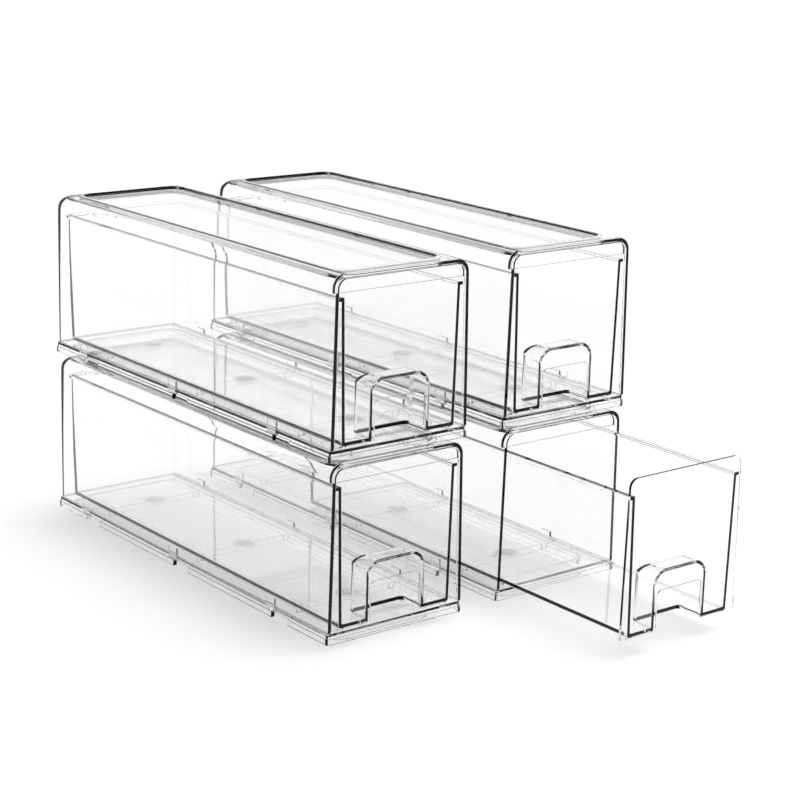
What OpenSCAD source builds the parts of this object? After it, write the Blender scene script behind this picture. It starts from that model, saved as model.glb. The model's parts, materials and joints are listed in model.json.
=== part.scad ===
// Set of four clear stacking drawer boxes: two stacks of two, each box a shell clipped to a base,
// with a drawer that slides out of the front. Box coordinates: X across, centred on the box,
// Y back from the front edge of the base, Z up from the surface that the foot stands on.

/* [Set] */
// Clear gap between the two stacks
stack_gap = 29; // [8:1:80]
// Distance that the lower right drawer stands open
open_travel = 115; // [20:1:300]

/* [Box] */
// Width of a box across its base flange
box_w = 110; // [96:1:160]
// Depth of a box along its base flange
box_d = 342.5; // [300:0.5:420]
// Height of a box from the underside of its foot to its top rim
box_h = 121.6; // [104:0.1:160]

/* [Base] */
// Height of the foot ring below the flange
foot_h = 4.8; // [3.4:0.1:8]
// Thickness of the foot ring
foot_wall = 2.4; // [1.6:0.1:4]
// Height of the flange around the base
flange_h = 4.1; // [3:0.1:6]
// Height of the step above the flange
step_h = 3.4; // [2.8:0.1:6]
// Set-back of the step from the flange
step_inset = 0.8; // [0.4:0.1:1.1]
// Corner radius of the flange in plan
flange_r = 4; // [2.5:0.5:8]
// Thickness of the skirt under the step
skirt_t = 2.2; // [1.4:0.1:2.4]
// Thickness of the deck that the drawer runs over
deck_t = 2.2; // [1.6:0.1:2.4]
// Distance from the middle of the box to the long ribs under the deck
rib_x = 34; // [20:1:38]
// Thickness of the ribs under the deck
rib_t = 1.6; // [1:0.1:3]
// Height of the ribs under the deck
rib_h = 4; // [2:0.5:5]
// Radius of a round gate mark on the deck
gate_r = 4; // [2:0.5:6]
// Height of a gate mark above the deck
gate_h = 0.6; // [0.3:0.1:0.8]

/* [Clips] */
// Spacing of the clips along each side
clip_pitch = 118.5; // [90:0.5:130]
// Length of a window in the flange
window_l = 18; // [8:1:24]
// Length of a clip hook
hook_l = 9.6; // [5:0.2:14]
// Thickness of a clip hook
hook_t = 1.6; // [1:0.1:2]
// Distance that a hook's barb reaches under the deck
barb = 1.2; // [0.6:0.1:2]
// Height of the pad that joins a hook to the shell
pad_h = 4.5; // [4:0.5:20]

/* [Shell] */
// Set-back of the shell's foot from the flange
shell_inset = 1.2; // [1.2:0.1:2]
// Distance that each side leans in from foot to top
side_lean = 2.2; // [0.5:0.1:5]
// Distance that the back leans in from foot to top
back_lean = 1.8; // [0.5:0.1:5]
// Thickness of the shell's sides and back
wall = 2.4; // [1.6:0.1:3]
// Thickness of the shell's top
top_t = 2.7; // [1.8:0.1:3]
// Radius along the shell's long top edges
edge_r = 9; // [6:0.5:12]
// Radius along the shell's rear top edge
back_r = 12; // [6:0.5:16]
// Radius of the shell's rear corners in plan
corner_r = 10; // [6:0.5:16]
// Depth of the seat sunk into the top
seat_depth = 2.7; // [1.5:0.1:3]
// Distance from the flange's edge line to the seat on the front and sides
seat_margin = 13.8; // [12:0.1:20]
// Corner radius of the seat in plan
seat_r = 11; // [6:0.5:20]
// Distance from the top rim down to the lower edge of the header
header_drop = 11.8; // [9:0.1:20]

/* [Drawer] */
// Set-back of the drawer's front from the shell's front
front_inset = 0.4; // [0:0.1:1.5]
// Thickness of the drawer's front
front_t = 2; // [1.5:0.1:2.6]
// Thickness of the drawer's walls
bin_wall = 2.1; // [1.2:0.1:2.5]
// Thickness of the drawer's floor
bin_floor = 2.2; // [1.2:0.1:3]
// Distance that each wall of the drawer leans in from its rim to its floor
bin_lean = 2; // [0.5:0.1:4]
// Radius along the drawer's lower edges, inside and outside
bin_edge_r = 1; // [0.5:0.1:4]
// Radius of the drawer's rear corners in plan
bin_corner_r = 8; // [5:0.5:16]
// Width of a runner under the drawer's floor
runner_w = 1.2; // [0.8:0.1:3]
// Height of a runner
runner_h = 1.2; // [1:0.1:3]
// Distance from a runner to the side of the drawer's floor
runner_inset = 2.5; // [1.5:0.5:20]
// Thickness of the drawer's rim
rim_t = 2; // [1:0.1:3]
// Space between the drawer's walls and the shell's walls at the rim
side_room = 3.3; // [2.4:0.1:8]

/* [Finger pull] */
// Width of the finger pull over its walls
pull_w = 47; // [34:1:60]
// Height of the finger pull above the drawer's underside
pull_h = 40; // [30:1:55]
// Depth of the finger pull behind the drawer's front
pull_d = 22; // [18:0.2:30]
// Upper corner radius of the finger pull
pull_r = 11; // [4:0.5:12]
// Radius of the finger pull's rear corners in plan
pull_corner_r = 6; // [3.5:0.5:10]
// Radius along the finger pull's rear top edge
pull_back_r = 7; // [3.5:0.5:10]
// Distance that each side of the finger pull narrows towards its back
pull_narrow = 0.6; // [0.5:0.1:6]
// Distance that the back of the finger pull leans forward from its foot to its top
pull_lean = 2.5; // [0.5:0.1:6]
// Thickness of the finger pull's wall
pull_wall = 2; // [1.4:0.1:3]
// Width of the mouth in the drawer's front
mouth_w = 40; // [24:1:56]
// Height of the mouth above the drawer's underside
mouth_h = 26.3; // [14:0.1:50]
// Upper corner radius of the mouth
mouth_r = 3.5; // [1:0.5:8]

/* [Fits] */
// Clearance between the foot ring and the seat of the box below
foot_fit = 0.5; // [0.3:0.1:1]
// Clearance around the drawer's front
front_fit = 0.4; // [0.3:0.1:1]
// Clearance between the drawer's rim and the shell's sides
rim_fit = 1.1; // [0.4:0.1:2]
// Clearance behind the closed drawer and around each hook
rest_fit = 0.3; // [0.2:0.1:0.6]
// Clearance between the drawer's runners and the deck
run_fit = 0.2; // [0.1:0.1:0.5]
// Clearance under the shell's edge and under the foot of a stacked box
seat_fit = 0.15; // [0.1:0.05:0.4]
// Clearance between the drawer's rim and the header
header_fit = 3; // [1:0.1:6]

/* [Hidden] */
$fn = 64;
over = 1; // how far a cutter runs past the face that it cuts

// Heights of the base and of the shell that stands on it
step_z = foot_h + flange_h;
deck_z = step_z + step_h;
shell_z = deck_z + seat_fit;
shell_h = box_h - shell_z;
stack_pitch = box_h - seat_depth + seat_fit;
header_z = box_h - header_drop;

// Outer lines of the shell
foot_half = box_w / 2 - shell_inset;
shell_back = box_d - shell_inset;

// Seat in the top, which the foot ring of the next box fits
seat_half = box_w / 2 - seat_margin;
seat_front = seat_margin;
seat_back = box_d - seat_margin;

// Heights of the drawer
bin_z = deck_z + run_fit + runner_h;
bin_top = header_z - header_fit;
bin_h = bin_top - bin_z;
front_top = box_h - top_t - front_fit;

// Plan of the drawer
front_y = shell_inset + front_inset;
inner_y = front_y + front_t;
rim_half = inner_half(bin_top) - rim_fit;
rim_back = inner_back(bin_top) - rest_fit;
rim_w = side_room - rim_fit;
bin_half = rim_half - rim_w;
bin_back = rim_back - rim_w;

// Clip hooks: the face that lies along the shell's inner wall
hook_x = foot_half - wall;
clip_y = [for (i = [-1, 0, 1]) box_d / 2 + i * clip_pitch];

// Set: the origin is under the middle of the whole footprint, the open drawer included
set_d = box_d - front_y + open_travel;
front_shift = open_travel - front_y - set_d / 2;
stack_x = (box_w + stack_gap) / 2;

// Inner half width and inner back line of the shell at a height
function inner_half(z) = foot_half - wall - side_lean * (z - shell_z) / shell_h;
function inner_back(z) = shell_back - wall - back_lean * (z - shell_z) / shell_h;

// Rectangle with round corners
module round_rect(x0, y0, x1, y1, r) {
    translate([x0 + r, y0]) square([x1 - x0 - 2 * r, y1 - y0]);
    translate([x0, y0 + r]) square([x1 - x0, y1 - y0 - 2 * r]);
    for (x = [x0 + r, x1 - r], y = [y0 + r, y1 - r])
        translate([x, y]) circle(r);
}

// Outline with leaning sides and two round upper corners; it runs "below" past its foot
module arch(half_foot, half_top, height, r, below = 0) {
    slope = (half_foot - half_top) / height;
    lean = atan(slope);
    reach = r * tan((90 - lean) / 2);
    foot = half_foot + slope * below;
    side = half_top + reach * sin(lean);
    shoulder = half_top - reach;
    polygon([
        [-foot, -below], [-side, height - reach * cos(lean)], [-shoulder, height],
        [shoulder, height], [side, height - reach * cos(lean)], [foot, -below]
    ]);
    for (x = [-shoulder, shoulder])
        translate([x, height - r]) circle(r);
}

// Right half of an arch, from the line "start" outwards
module half_arch(start, half_foot, half_top, height, r, below = 0) {
    intersection() {
        arch(half_foot, half_top, height, r, below);
        translate([start, -below - over]) square([2 * half_foot, height + below + 2 * over]);
    }
}

// Puts an outline drawn in X and Z between two planes across Y
module along_y(y0, y1) {
    translate([0, y1, 0]) rotate([90, 0, 0]) linear_extrude(y1 - y0) children();
}

// Puts an outline drawn in Y and Z across a width centred on X
module along_x(width) {
    translate([-width / 2, 0, 0]) rotate([90, 0, 90]) linear_extrude(width) children();
}

// Form of the shell, "side" and "top" inside its outer faces, open to the front
module shell_form(side, top, ahead, below) {
    height = shell_h - top;
    top_half = inner_half(box_h - top) + wall - side;
    top_back = inner_back(box_h - top) + wall - side;
    intersection() {
        translate([0, 0, shell_z]) along_y(shell_inset - ahead, box_d)
            arch(foot_half - side, top_half, height, edge_r - side, below);
        translate([0, 0, shell_z]) along_x(box_w)
            half_arch(-over, shell_back - side, top_back, height, back_r - side, below);
        translate([0, 0, shell_z - below - over]) linear_extrude(shell_h + below + 2 * over)
            round_rect(side - box_w / 2, -2 * corner_r, box_w / 2 - side, box_d - side, corner_r - side);
    }
}

// Plan of the seat, grown by "grow"
module seat_plan(grow) {
    round_rect(-seat_half - grow, seat_front - grow, seat_half + grow, seat_back + grow, seat_r + grow);
}

// Tray that holds the seat under the top
module seat_tray() {
    translate([0, 0, box_h - seat_depth - top_t])
        linear_extrude(seat_depth + top_t + over) seat_plan(wall);
}

// Header that stands behind the closed drawer's front and joins the sides with the top
module header() {
    translate([-box_w / 2, inner_y + rest_fit, header_z]) cube([box_w, wall, header_drop]);
}

// Hook that goes down through the deck, in section, with its barb under the deck's edge
module hook_section() {
    barb_z = deck_z - deck_t - rest_fit;
    polygon([
        [hook_x + wall / 2, shell_z], [hook_x, shell_z],
        [hook_x, barb_z - 2 * barb], [hook_x - hook_t, barb_z - 2 * barb],
        [hook_x - hook_t - barb, barb_z - barb / 2], [hook_x - hook_t - barb, barb_z],
        [hook_x - hook_t, barb_z],
        [hook_x - hook_t, deck_z + pad_h], [hook_x + wall / 2, deck_z + pad_h]
    ]);
}

// Hooks along both sides
module hooks() {
    for (y = clip_y, flip = [0, 1])
        mirror([flip, 0, 0]) along_y(y + window_l / 2, y + window_l / 2 + hook_l) hook_section();
}

module shell() {
    color([0.9, 0.94, 0.97, 0.4]) {
        difference() {
            shell_form(0, 0, 0, 0);
            difference() {
                shell_form(wall, top_t, over, over);
                seat_tray();
                header();
            }
            translate([0, 0, box_h - seat_depth]) linear_extrude(seat_depth + over) seat_plan(0);
        }
        hooks();
    }
}

module base() {
    inset = step_inset + skirt_t;
    color([0.88, 0.93, 0.96, 0.4]) {
        difference() {
            union() {
                translate([0, 0, foot_h]) linear_extrude(flange_h)
                    round_rect(-box_w / 2, 0, box_w / 2, box_d, flange_r);
                translate([0, 0, foot_h]) linear_extrude(deck_z - foot_h)
                    round_rect(
                        step_inset - box_w / 2, step_inset, box_w / 2 - step_inset, box_d - step_inset,
                        flange_r - step_inset
                    );
            }
            // hollow under the deck
            translate([-box_w / 2 + inset, inset, foot_h - over])
                cube([box_w - 2 * inset, box_d - 2 * inset, deck_z - deck_t - foot_h + over]);
            for (y = clip_y, side = [-1, 1]) {
                // window in the flange
                translate([side * box_w / 2 - 2 * inset, y - window_l / 2, foot_h - over])
                    cube([4 * inset, window_l, flange_h + over]);
                // slot for the hook
                translate([
                    side * (hook_x - hook_t / 2) - hook_t / 2 - rest_fit,
                    y + window_l / 2 - rest_fit, deck_z - deck_t - over
                ])
                    cube([hook_t + 2 * rest_fit, hook_l + 2 * rest_fit, deck_t + 2 * over]);
            }
        }
        foot();
        // gate marks on the deck
        for (y = clip_y)
            translate([0, y, deck_z]) cylinder(h = gate_h, r = gate_r);
    }
}

// Ring that stands on the surface or in the seat of the box below, with the ribs inside it
module foot() {
    ring = -foot_fit;
    difference() {
        linear_extrude(deck_z - deck_t) seat_plan(ring);
        translate([0, 0, -over]) linear_extrude(deck_z + over) seat_plan(ring - foot_wall);
    }
    translate([0, 0, deck_z - deck_t - rib_h]) linear_extrude(rib_h) intersection() {
        seat_plan(ring - foot_wall / 2);
        union() {
            for (side = [-1, 1])
                translate([side * rib_x - rib_t / 2, 0]) square([rib_t, box_d]);
            for (y = clip_y)
                translate([-box_w / 2, y - rib_t / 2]) square([box_w, rib_t]);
        }
    }
}

// Form of the drawer's bin, "side" and "floor" inside its outer faces, running "rise" past its rim
module bin_form(side, floor, start, rise) {
    height = bin_h - floor;
    intersection() {
        translate([0, 0, bin_top]) along_y(start, box_d) mirror([0, 1])
            arch(bin_half - side, bin_half - bin_lean - side, height, bin_edge_r, rise);
        translate([0, 0, bin_top]) along_x(box_w) mirror([0, 1])
            half_arch(-over, bin_back - side, bin_back - bin_lean - side, height, bin_edge_r, rise);
        translate([0, 0, bin_z - over]) linear_extrude(bin_h + rise + 2 * over)
            round_rect(
                side - bin_half - over, -2 * bin_corner_r, bin_half + over - side, bin_back + over - side,
                bin_corner_r - side
            );
    }
}

// Form of the finger pull, "inset" inside its outer faces, from "start" backwards
module pull_form(inset, start, below) {
    back = front_y + pull_d;
    intersection() {
        translate([0, 0, bin_z]) along_y(start, back)
            arch(pull_w / 2 - inset, pull_w / 2 - inset, pull_h - inset, pull_r - inset, below);
        translate([0, front_y, bin_z - below - over]) linear_extrude(pull_h + below + 2 * over)
            arch(
                pull_w / 2 - inset, pull_w / 2 - pull_narrow - inset, pull_d - inset,
                pull_corner_r - inset, 2 * over
            );
        translate([0, 0, bin_z]) along_x(pull_w)
            half_arch(
                -over, back - inset, back - pull_lean - inset, pull_h - inset,
                pull_back_r - inset, below
            );
    }
}

// Front of the drawer, which fills the opening of the shell
module front_plate() {
    z = bin_z - run_fit;
    translate([0, 0, z]) along_y(front_y, inner_y)
        arch(
            inner_half(z) - front_fit, inner_half(front_top) - front_fit, front_top - z,
            edge_r - wall - front_fit
        );
}

module drawer() {
    color([0.86, 0.92, 0.96, 0.4]) difference() {
        union() {
            front_plate();
            difference() {
                bin_form(0, 0, inner_y - front_t / 2, 0);
                bin_form(bin_wall, bin_floor, inner_y, over);
            }
            runners();
            rim();
            pull_form(0, inner_y - front_t / 2, 0);
        }
        pull_form(pull_wall, inner_y, over);
        // mouth in the front
        translate([0, 0, bin_z]) along_y(front_y - over, inner_y + over)
            arch(mouth_w / 2, mouth_w / 2, mouth_h, mouth_r, 2 * over);
    }
}

// Two runners under the floor, from the front back to near the rear edge
module runners() {
    side = bin_half - bin_lean - runner_inset;
    back = bin_back - bin_lean - runner_inset;
    for (flip = [0, 1])
        mirror([flip, 0, 0]) translate([side - runner_w, inner_y, bin_z - runner_h])
            cube([runner_w, back - inner_y, runner_h + bin_floor / 2]);
}

// Rim around the sides and back of the bin
module rim() {
    translate([0, 0, bin_top - rim_t]) linear_extrude(rim_t) difference() {
        intersection() {
            round_rect(-rim_half, -2 * bin_corner_r, rim_half, rim_back, bin_corner_r);
            translate([-box_w / 2, inner_y - front_t / 2]) square([box_w, box_d]);
        }
        round_rect(
            -bin_half + bin_wall / 2, -2 * bin_corner_r, bin_half - bin_wall / 2, bin_back - bin_wall / 2,
            bin_corner_r - rim_w - bin_wall / 2
        );
    }
}

// Puts a piece in the left (-1) or right (1) stack, at level 0 or 1, moved out of the front by "out"
module at(stack, level, out = 0) {
    translate([stack * stack_x, front_shift - out, level * stack_pitch]) children();
}

at(-1, 0) base();  // left_lower_base
at(-1, 0) shell();  // left_lower_shell
at(-1, 0) drawer();  // left_lower_drawer
at(-1, 1) base();  // left_upper_base
at(-1, 1) shell();  // left_upper_shell
at(-1, 1) drawer();  // left_upper_drawer
at(1, 0) base();  // right_lower_base
at(1, 0) shell();  // right_lower_shell
at(1, 0, open_travel) drawer();  // right_lower_drawer
at(1, 1) base();  // right_upper_base
at(1, 1) shell();  // right_upper_shell
at(1, 1) drawer();  // right_upper_drawer
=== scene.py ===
import json
import math

import bmesh
import bpy
import numpy as np
from mathutils import Matrix, Vector
from mathutils.geometry import delaunay_2d_cdt


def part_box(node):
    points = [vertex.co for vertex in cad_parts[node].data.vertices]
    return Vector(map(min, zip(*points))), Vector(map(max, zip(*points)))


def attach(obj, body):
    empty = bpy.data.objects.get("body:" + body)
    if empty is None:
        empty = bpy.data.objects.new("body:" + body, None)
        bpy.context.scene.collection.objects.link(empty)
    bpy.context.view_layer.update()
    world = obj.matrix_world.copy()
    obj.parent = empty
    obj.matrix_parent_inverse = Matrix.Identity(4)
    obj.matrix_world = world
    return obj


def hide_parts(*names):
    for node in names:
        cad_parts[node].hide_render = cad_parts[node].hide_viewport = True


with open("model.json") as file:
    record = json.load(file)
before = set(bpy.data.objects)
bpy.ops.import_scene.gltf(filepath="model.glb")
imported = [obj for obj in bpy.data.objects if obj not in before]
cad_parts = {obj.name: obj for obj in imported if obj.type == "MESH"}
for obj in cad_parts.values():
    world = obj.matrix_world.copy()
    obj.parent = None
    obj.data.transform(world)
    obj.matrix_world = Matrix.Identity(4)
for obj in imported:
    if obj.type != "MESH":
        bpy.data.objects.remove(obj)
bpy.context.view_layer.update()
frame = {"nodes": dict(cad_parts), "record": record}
print("frame loaded:", len(frame["nodes"]), "mouldings")

# camera, at the height of a person's eye in front of a table
viewpoint = {
    "place": (-0.83354, -1.07491, 0.48933),  # metres
    "aim": (-0.2336, -0.3189, 0.2275),  # a point on the line of sight
    "roll": 1.43,  # degrees
    "lens": 92.19,  # mm
    "film": 36,  # mm
    "reach": 100,  # metres; the far end of what it sees
}


def setCamera():
    data = bpy.data.cameras.new("camera")
    data.lens = viewpoint["lens"]
    data.sensor_width = viewpoint["film"]
    data.clip_end = viewpoint["reach"]
    camera = bpy.data.objects.new("camera", data)
    bpy.context.scene.collection.objects.link(camera)
    sight = Vector(viewpoint["aim"]) - Vector(viewpoint["place"])
    turn = sight.to_track_quat("-Z", "Y").to_matrix()
    roll = Matrix.Rotation(math.radians(viewpoint["roll"]), 3, "Z")
    camera.matrix_world = Matrix.Translation(viewpoint["place"]) @ (turn @ roll).to_4x4()
    bpy.context.scene.camera = camera


# how a moulding's mesh is finished
moulding = {
    "mergeGap": 2e-5,  # metres
    "flatAngle": 0.1,  # degrees; faces that differ less become one
    "edgeAngle": 30,  # degrees; sharper edges are rounded
    "edgeRadius": 0.00025,  # metres
    "edgeSteps": 2,
    "edgeGap": 2e-6,  # metres; corners of the rounding this close become one
    "rimGap": 1e-7,  # metres; a corner this close to an open edge lies on it
    "pointGap": 1e-8,  # metres; points this close are the same
    "tightGap": 0.0006,  # metres; edges this close to a place too tight for the radius stay sharp
    "tries": 12,
    "smoothAngle": 50,  # degrees between faces that shade as one surface
}


def fillFlats(work):
    # splits every face of more than four corners into Delaunay triangles in its own plane, notes on each
    # face the area of the flat that it comes from, and returns the points where an outline crosses itself
    crossings = []
    flatArea = work.faces.layers.float.new("flatArea")
    for face in work.faces:
        face[flatArea] = face.calc_area()
    for face in [f for f in work.faces if len(f.verts) > 4]:
        corners = list(face.verts)
        start = corners[0].co.copy()
        across = face.normal.orthogonal().normalized()
        along = face.normal.cross(across)
        outline = [Vector(((c.co - start).dot(across), (c.co - start).dot(along))) for c in corners]
        inside = 1  # keep only the triangles inside the outline
        points, _, triangles, origins, _, _ = delaunay_2d_cdt(
            outline, [], [list(range(len(outline)))], inside, moulding["pointGap"]
        )
        crossed = [p for p, origin in zip(points, origins) if not origin]
        crossings += [start + p.x * across + p.y * along for p in crossed]
        if crossed or max(len(origin) for origin in origins) > 1:
            continue
        area = face[flatArea]
        work.faces.remove(face)
        for triangle in triangles:
            a, b, c = (points[i] for i in triangle)
            turn = (b.x - a.x) * (c.y - a.y) - (b.y - a.y) * (c.x - a.x)
            ring = [corners[origins[i][0]] for i in triangle]
            work.faces.new(ring if turn > 0 else ring[::-1])[flatArea] = area
    # a spare face has both an open edge and an edge that three faces share
    spare = [f for f in work.faces if len({len(e.link_faces) for e in f.edges} & {1, 3}) == 2]
    bmesh.ops.delete(work, geom=spare, context="FACES")
    return crossings


def joinRims(work):
    # splits each open edge where the corner of another open edge lies on it, and merges the two
    rims = [e for e in work.edges if e.is_boundary]
    corners = list(dict.fromkeys(v for e in rims for v in e.verts))
    for edge in rims:
        a, b = edge.verts
        for corner in corners:
            share = (corner.co - a.co).dot(b.co - a.co) / (b.co - a.co).length_squared
            near = (a.co.lerp(b.co, share) - corner.co).length < moulding["rimGap"]
            if near and 0 < share < 1 and corner not in (a, b):
                added = bmesh.utils.edge_split(edge, a, share)[1]
                added.co = corner.co
                break
    rimCorners = [v for v in work.verts if v.is_boundary]
    bmesh.ops.remove_doubles(work, verts=rimCorners, dist=moulding["pointGap"])


def farFrom(places, edge):
    # true if no place lies within tightGap of the edge
    a, b = (v.co for v in edge.verts)
    for place in places:
        share = (place - a).dot(b - a) / (b - a).length_squared
        if (a.lerp(b, min(max(share, 0), 1)) - place).length < moulding["tightGap"]:
            return False
    return True


def roundEdges(mesh):
    # merges a CAD mesh, joins its flat faces and rounds its sharp edges; where a strip is too narrow for
    # the radius, the edges beside it are left sharp and the rounding starts again
    plain = bmesh.new()
    plain.from_mesh(mesh)
    bmesh.ops.remove_doubles(plain, verts=plain.verts, dist=moulding["mergeGap"])
    bmesh.ops.dissolve_limit(
        plain, angle_limit=math.radians(moulding["flatAngle"]), verts=plain.verts, edges=plain.edges
    )
    tight = []
    limit = math.radians(moulding["edgeAngle"])
    for attempt in range(moulding["tries"]):
        work = plain.copy()
        work.normal_update()
        sharp = [e for e in work.edges if e.calc_face_angle(0) > limit and farFrom(tight, e)]
        bmesh.ops.bevel(
            work, geom=sharp, offset=moulding["edgeRadius"], segments=moulding["edgeSteps"],
            profile=0.5, affect="EDGES", clamp_overlap=False
        )
        bmesh.ops.remove_doubles(work, verts=work.verts, dist=moulding["edgeGap"])
        work.normal_update()
        crossings = fillFlats(work)
        joinRims(work)
        work.to_mesh(mesh)
        openEdges = sum(not e.is_manifold for e in work.edges)
        work.free()
        if not crossings:
            break
        tight += crossings
    plain.free()
    print("edges rounded:", len(mesh.polygons), "faces,", openEdges, "open edges")


def shadeTrue(mesh):
    # a corner's normal is the mean of the faces round its vertex that lie within smoothAngle of its own
    # face, weighted by the square of their flats' areas, so that flat walls stay optically flat
    loops = len(mesh.loops)
    faces = len(mesh.polygons)
    corners = np.zeros(loops, np.int32)
    mesh.loops.foreach_get("vertex_index", corners)
    total = np.zeros(faces, np.int32)
    mesh.polygons.foreach_get("loop_total", total)
    area = np.zeros(faces, np.float32)
    mesh.attributes["flatArea"].data.foreach_get("value", area)
    mesh.attributes.remove(mesh.attributes["flatArea"])
    area *= 1e6  # square millimetres
    normal = np.zeros(faces * 3)
    mesh.polygons.foreach_get("normal", normal)
    normal = normal.reshape(-1, 3)
    face = np.repeat(np.arange(faces), total)  # the face of each corner
    order = np.argsort(corners, kind="stable")
    starts = np.searchsorted(corners[order], np.arange(len(mesh.vertices) + 1))
    span = starts[corners + 1] - starts[corners]
    pairs = np.repeat(np.arange(loops), span)
    offset = np.arange(len(pairs)) - np.repeat(np.cumsum(span) - span, span)
    other = face[order[np.repeat(starts[corners], span) + offset]]
    cosine = np.einsum("ij,ij->i", normal[face[pairs]], normal[other])
    alike = cosine > math.cos(math.radians(moulding["smoothAngle"]))
    weight = np.where(alike, area[other] ** 2, 0)
    mixed = np.zeros((loops, 3))
    for axis in range(3):
        mixed[:, axis] = np.bincount(pairs, weight * normal[other, axis], loops)
    mixed /= np.linalg.norm(mixed, axis=1)[:, None]
    mesh.polygons.foreach_set("use_smooth", np.ones(faces, bool))
    mesh.normals_split_custom_set(mixed.tolist())


def finishMoulding(node, material):
    source = frame["nodes"][node]
    mesh = bpy.data.meshes.new(node + "_clear")
    mesh.from_pydata(
        [v.co for v in source.data.vertices], [], [p.vertices[:] for p in source.data.polygons]
    )
    roundEdges(mesh)
    shadeTrue(mesh)
    mesh.materials.append(material)
    piece = bpy.data.objects.new(node + "_clear", mesh)
    bpy.context.scene.collection.objects.link(piece)
    body = [b for b, members in frame["record"]["behaviour"]["bodies"].items() if node in members][0]
    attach(piece, body)
    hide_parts(node)


# clear injection-moulded polystyrene; lengths in metres
shellPlastic = {
    "ior": 1.5,
    "mirror": 0.3,  # strength of the reflections on its faces
    "absorb": 6,  # per metre of plastic
    "shadow": 0.94,  # share of the lamp's light that passes each surface
    "rippleScale": 14,  # waves per metre, where the melt cooled unevenly
    "rippleHeight": 6e-6,
    "ringHeight": 0,
    "blush": 0,
    "scuff": 0.012,  # roughness of the hairline scratches
}
basePlastic = {
    "ior": 1.5,
    "mirror": 0.3,
    "absorb": 5,
    "shadow": 1,
    "rippleScale": 22,
    "rippleHeight": 1.2e-5,
    "ringHeight": 3e-5,  # flow rings round the gate marks
    "blush": 0.35,  # roughness of the frosted spot at each gate mark
    "scuff": 0.02,
}
drawerPlastic = {
    "ior": 1.5,
    "mirror": 0.3,
    "absorb": 6,
    "shadow": 0.8,
    "rippleScale": 18,
    "rippleHeight": 5e-6,
    "ringHeight": 1e-5,
    "blush": 0,
    "scuff": 0.016,
}
gates = {
    "pitch": 0.1185,  # distance between the gate marks of a box
    "reach": 0.04,  # the rings fade out at this distance
    "ringScale": 9,
    "ringWarp": 2.5,  # how far the rings wander
    "ringWarpScale": 6,
    "blushFrom": 0.011,  # the frosted spot's outer radius
    "blushTo": 0.005,  # and the radius of its roughest part
}
scratches = {
    "scale": (900, 14, 900),  # per metre: hairlines along Y, from the drawers sliding
    "from": 0.6,  # height of the noise where a scratch begins
    "to": 0.75,  # and where it is deepest
}
absorbColour = (0.5, 0.5, 0.5, 1)


def feed(tree, socket, value):
    # sets a socket to a number or a colour, or links it to the output that is given
    if isinstance(value, bpy.types.NodeSocket):
        tree.links.new(value, socket)
    else:
        socket.default_value = value


def addNode(tree, kind, **inputs):
    # makes a node of a kind and feeds its inputs, whose names have _ for a blank
    node = tree.nodes.new("ShaderNode" + kind)
    for name, value in inputs.items():
        feed(tree, node.inputs[name.replace("_", " ")], value)
    return node


def calc(tree, operation, *values):
    # makes a math node, feeds its inputs in order and returns its output
    node = tree.nodes.new("ShaderNodeMath")
    node.operation = operation
    for socket, value in zip(node.inputs, values):
        feed(tree, socket, value)
    return node.outputs[0]


def nearestGate(tree, place):
    # position across and along from the nearest gate mark, and the distance from it; the two stacks
    # mirror each other, and a box has a mark in its middle and one a pitch before and behind it
    low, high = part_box("right_upper_base")
    middle = (low + high) / 2
    parts = addNode(tree, "SeparateXYZ", Vector=place).outputs
    across = calc(tree, "SUBTRACT", calc(tree, "ABSOLUTE", parts["X"]), middle.x)
    half = gates["pitch"] / 2
    along = calc(tree, "WRAP", calc(tree, "SUBTRACT", parts["Y"], middle.y), half, -half)
    squares = [calc(tree, "MULTIPLY", side, side) for side in (across, along)]
    return across, along, calc(tree, "SQRT", calc(tree, "ADD", *squares))


def flowRings(tree, across, along, distance):
    # waves round the nearest gate mark, which fade out at their reach
    spot = addNode(tree, "CombineXYZ", X=across, Y=along).outputs[0]
    rings = addNode(
        tree, "TexWave", Vector=spot, Scale=gates["ringScale"], Distortion=gates["ringWarp"], Detail=1,
        Detail_Scale=gates["ringWarpScale"]
    )
    rings.wave_type = "RINGS"
    rings.rings_direction = "SPHERICAL"
    share = calc(tree, "DIVIDE", distance, gates["reach"])
    fade = calc(tree, "MAXIMUM", calc(tree, "SUBTRACT", 1, share), 0)
    return calc(tree, "MULTIPLY", rings.outputs["Fac"], fade)


def wornRoughness(tree, place, distance, look):
    # roughness of the scratches, or of the frosted spot at a gate mark where that is rougher
    stretched = addNode(tree, "Mapping", Vector=place, Scale=scratches["scale"]).outputs[0]
    hairs = addNode(tree, "TexNoise", Vector=stretched, Scale=1, Detail=2)
    scratch = addNode(
        tree, "MapRange", Value=hairs.outputs["Fac"], From_Min=scratches["from"],
        From_Max=scratches["to"], To_Max=look["scuff"]
    )
    blush = addNode(
        tree, "MapRange", Value=distance, From_Min=gates["blushTo"], From_Max=gates["blushFrom"],
        To_Min=look["blush"], To_Max=0
    )
    blush.interpolation_type = "SMOOTHSTEP"
    return calc(tree, "MAXIMUM", scratch.outputs["Result"], blush.outputs["Result"])


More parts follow.
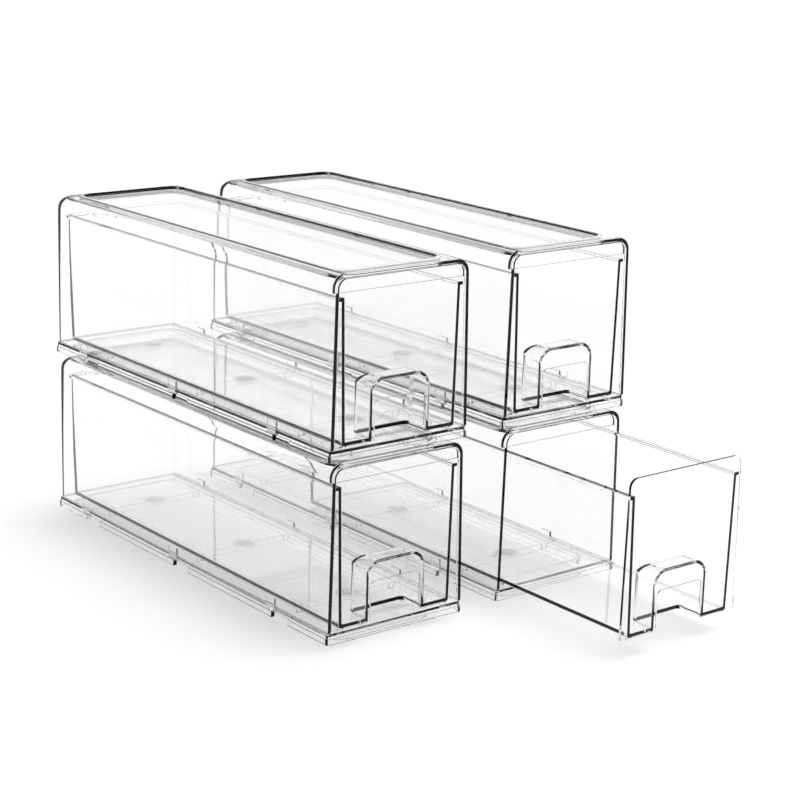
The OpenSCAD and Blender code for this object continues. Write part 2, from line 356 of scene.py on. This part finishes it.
def clearPlastic(name, look):
    material = bpy.data.materials.new(name)
    material.use_nodes = True
    tree = material.node_tree
    place = addNode(tree, "TexCoord").outputs["Object"]
    across, along, distance = nearestGate(tree, place)
    ripple = addNode(tree, "TexNoise", Vector=place, Scale=look["rippleScale"], Detail=1)
    bump = addNode(tree, "Bump", Height=ripple.outputs["Fac"], Distance=look["rippleHeight"])
    if look["ringHeight"]:
        rings = flowRings(tree, across, along, distance)
        smooth = bump.outputs["Normal"]
        bump = addNode(tree, "Bump", Height=rings, Distance=look["ringHeight"], Normal=smooth)

    surface = tree.nodes["Principled BSDF"]
    surface.inputs["Base Color"].default_value = (1, 1, 1, 1)
    surface.inputs["Transmission Weight"].default_value = 1
    surface.inputs["IOR"].default_value = look["ior"]
    surface.inputs["Specular Tint"].default_value = (look["mirror"],) * 3 + (1,)
    tree.links.new(wornRoughness(tree, place, distance, look), surface.inputs["Roughness"])
    tree.links.new(bump.outputs["Normal"], surface.inputs["Normal"])
    inside = addNode(tree, "VolumeAbsorption", Color=absorbColour, Density=look["absorb"])
    output = tree.nodes["Material Output"]
    tree.links.new(inside.outputs["Volume"], output.inputs["Volume"])

    # lamp light passes straight through, a little weaker at each surface
    passing = addNode(tree, "BsdfTransparent", Color=(look["shadow"],) * 3 + (1,))
    either = addNode(tree, "MixShader", Fac=addNode(tree, "LightPath").outputs["Is Shadow Ray"])
    tree.links.new(surface.outputs["BSDF"], either.inputs[1])
    tree.links.new(passing.outputs["BSDF"], either.inputs[2])
    tree.links.new(either.outputs["Shader"], output.inputs["Surface"])
    return material


# light of a studio: white surroundings near the horizon, darker overhead, so that the edges of the
# clear plastic show dark, and one large lamp above, to the right
studio = {
    "surroundings": 1.0,  # strength where a ray from the camera or from the plastic meets them
    "overhead": 0.03,  # strength overhead, where a ray from the plastic meets it
    "dimFrom": 0.45,  # sine of the height where the dimming starts
    "dimTo": 0.65,  # and where it ends
    "fill": 0.15,  # strength of their light on the floor
    "lampFrom": (0.22, -0.08, 1.0),
    "lampWidth": 34,  # degrees across, as seen from the floor
    "lamp": 1.6,
    "floorGlow": 0.51,
    "floorColour": 0.8,
    "floorReach": 40,  # metres, from the middle to each side
    "floorDrop": 0.0002,  # metres; it lies this far under the boxes
}


def setLight():
    world = bpy.data.worlds.new("world")
    bpy.context.scene.world = world
    world.use_nodes = True
    tree = world.node_tree
    direction = addNode(tree, "TexCoord").outputs["Generated"]
    dim = addNode(
        tree, "MapRange", Value=addNode(tree, "SeparateXYZ", Vector=direction).outputs["Z"],
        From_Min=studio["dimFrom"], From_Max=studio["dimTo"],
        To_Min=studio["surroundings"], To_Max=studio["overhead"]
    )
    dim.interpolation_type = "SMOOTHSTEP"
    strength = dim.outputs["Result"]
    rays = addNode(tree, "LightPath").outputs
    for ray, level in (("Is Diffuse Ray", studio["fill"]), ("Is Camera Ray", studio["surroundings"])):
        strength = addNode(tree, "Mix", Factor=rays[ray], A=strength, B=level).outputs["Result"]
    background = tree.nodes["Background"]
    background.inputs["Color"].default_value = (1, 1, 1, 1)
    tree.links.new(strength, background.inputs["Strength"])

    data = bpy.data.lights.new("lamp", "SUN")
    data.angle = math.radians(studio["lampWidth"])
    data.energy = studio["lamp"]
    lamp = bpy.data.objects.new("lamp", data)
    lamp.rotation_euler = (-Vector(studio["lampFrom"])).to_track_quat("-Z", "Y").to_euler()
    lamp.visible_glossy = False
    lamp.visible_transmission = False
    bpy.context.scene.collection.objects.link(lamp)


def setFloor():
    mesh = bpy.data.meshes.new("floor")
    r = studio["floorReach"]
    mesh.from_pydata([(-r, -r, 0), (r, -r, 0), (r, r, 0), (-r, r, 0)], [], [(0, 1, 2, 3)])
    floor = bpy.data.objects.new("floor", mesh)
    floor.location.z = -studio["floorDrop"]
    bpy.context.scene.collection.objects.link(floor)
    material = bpy.data.materials.new("floor")
    material.use_nodes = True
    surface = material.node_tree.nodes["Principled BSDF"]
    surface.inputs["Base Color"].default_value = (studio["floorColour"],) * 3 + (1,)
    surface.inputs["Roughness"].default_value = 1
    surface.inputs["Specular IOR Level"].default_value = 0
    surface.inputs["Emission Color"].default_value = (1, 1, 1, 1)
    surface.inputs["Emission Strength"].default_value = studio["floorGlow"]
    mesh.materials.append(material)


setCamera()
setLight()
setFloor()
print("camera, light and floor set")
plastics = {
    "base": clearPlastic("baseClear", basePlastic),
    "shell": clearPlastic("shellClear", shellPlastic),
    "drawer": clearPlastic("drawerClear", drawerPlastic),
}
print("plastics made")
for node in sorted(frame["nodes"]):
    finishMoulding(node, plastics[node.split("_")[-1]])
print("mouldings finished")

# a ray through both stacks meets dozens of clear faces
bounces = bpy.context.scene.cycles
bounces.max_bounces = 64
bounces.transmission_bounces = 64
bounces.glossy_bounces = 6
bounces.diffuse_bounces = 3
bpy.context.scene.view_settings.view_transform = "Standard"
